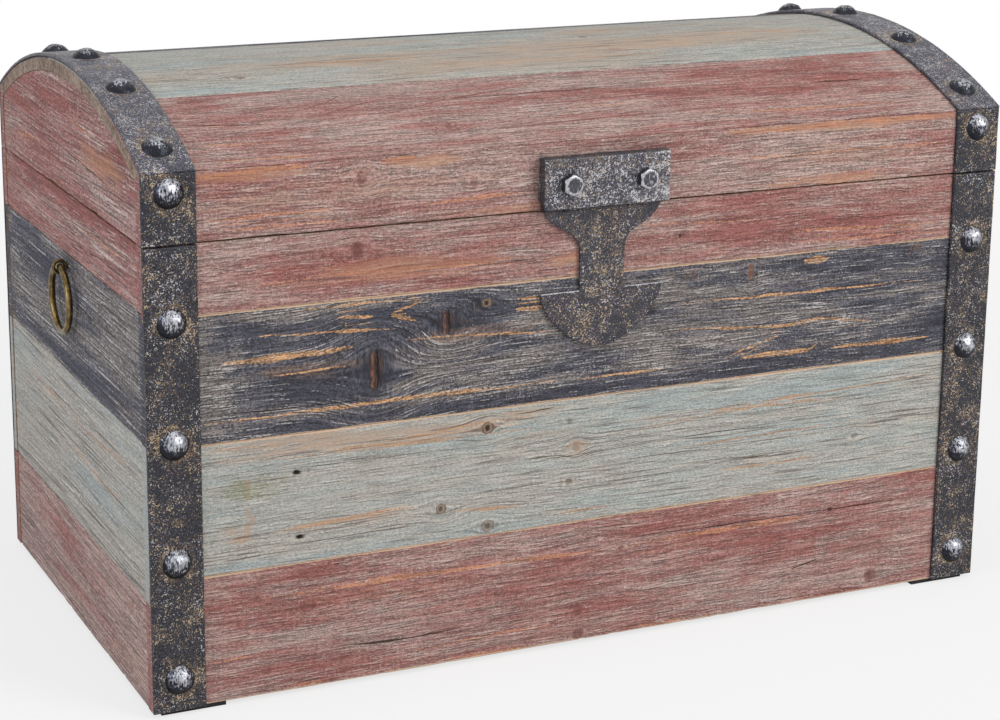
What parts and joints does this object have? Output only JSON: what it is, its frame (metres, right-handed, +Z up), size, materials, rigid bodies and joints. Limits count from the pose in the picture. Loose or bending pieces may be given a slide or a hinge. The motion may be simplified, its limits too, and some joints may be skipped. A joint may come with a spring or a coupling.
{
  "type": "wooden trunk",
  "caption": "Arched-lid wooden storage trunk of painted planks with iron strap bands, domed studs, a drop hasp and ring pulls; the lid lifts on back hinges.",
  "frame": {"origin": "on the floor, in the plane of the pads' undersides, under the middle of the whole trunk from hasp bolts to hinges", "axes": "+X along the length to the right of someone facing the hasp, +Y from the hasp side to the hinge side, +Z up"},
  "size_m": [0.631, 0.362, 0.393],
  "materials": {
    "red_paint": "dusty red milk paint, limed and sanded through",
    "green_paint": "pale grey-green milk paint, limed and sanded through",
    "blue_paint": "charcoal-blue milk paint, limed and sanded through",
    "bare_wood": "unpainted softwood",
    "strap_iron": "charcoal with gold and silver dry-brushed speckle",
    "stud_steel": "dark domes rubbed bright on top",
    "hasp_iron": "charcoal with gold and silver dry-brushed speckle",
    "bolt_steel": "dark hex heads rubbed bright on the edges",
    "hinge_steel": "dark bronzed steel",
    "screw_steel": "plain steel, slightly dull",
    "ring_brass": "antique brass",
    "pad_black": "black, matt"
  },
  "bodies": {
    "chest": {"front_plank_1": "red_paint", "front_plank_2": "green_paint", "front_plank_3": "blue_paint", "front_plank_4": "red_paint", "back_plank_1": "red_paint", "back_plank_2": "green_paint", "back_plank_3": "blue_paint", "back_plank_4": "red_paint", "left_plank_1": "red_paint", "left_plank_2": "green_paint", "left_plank_3": "blue_paint", "left_plank_4": "red_paint", "right_plank_1": "red_paint", "right_plank_2": "green_paint", "right_plank_3": "blue_paint", "right_plank_4": "red_paint", "floor_panel": "bare_wood", "floor_cleats": "bare_wood", "corner_posts": "bare_wood", "post_screws": "screw_steel", "strap_front_left": "strap_iron", "strap_front_right": "strap_iron", "strap_back_left": "strap_iron", "strap_back_right": "strap_iron", "body_studs": "stud_steel", "foot_pads": "pad_black", "hinge_plate_left": "hinge_steel", "hinge_plate_right": "hinge_steel", "hinge_pins": "hinge_steel", "plate_screws": "screw_steel", "ring_eyes": "ring_brass", "ring_eye_nuts": "ring_brass"},
    "lid": {"lid_front_rail": "red_paint", "lid_back_rail": "red_paint", "lid_left_end": "red_paint", "lid_right_end": "red_paint", "arch_board_1": "red_paint", "arch_board_2": "green_paint", "arch_board_3": "blue_paint", "arch_board_4": "red_paint", "lid_blocks": "bare_wood", "block_screws": "screw_steel", "lid_strap_front_left": "strap_iron", "lid_strap_front_right": "strap_iron", "lid_strap_back_left": "strap_iron", "lid_strap_back_right": "strap_iron", "arch_strap_left": "strap_iron", "arch_strap_right": "strap_iron", "lid_studs": "stud_steel", "hinge_flap_left": "hinge_steel", "hinge_flap_right": "hinge_steel", "flap_screws": "screw_steel", "hasp_cover": "hasp_iron", "hasp_leaf": "hasp_iron", "hasp_pin": "hasp_iron", "hasp_bolts": "bolt_steel", "hasp_nuts": "bolt_steel"},
    "hasp": {"hasp_tongue": "hasp_iron"},
    "left_ring": {"ring_left": "ring_brass"},
    "right_ring": {"ring_right": "ring_brass"}
  },
  "joints": [
    {"name": "lid_hinge", "type": "hinge", "parent": "chest", "child": "lid", "pos_m": [0, 0.17396, 0.299], "axis": [-1, 0, 0], "range_deg": [0, 99.5]},
    {"name": "hasp_swing", "type": "hinge", "parent": "lid", "child": "hasp", "pos_m": [0, -0.17094, 0.302], "axis": [-1, 0, 0], "range_deg": [0, 88]},
    {"name": "left_ring_swing", "type": "hinge", "parent": "chest", "child": "left_ring", "pos_m": [-0.3103, 0.00196, 0.25], "axis": [0, 1, 0], "range_deg": [-3, 180]},
    {"name": "right_ring_swing", "type": "hinge", "parent": "chest", "child": "right_ring", "pos_m": [0.3103, 0.00196, 0.25], "axis": [0, -1, 0], "range_deg": [-3, 180]}
  ]
}
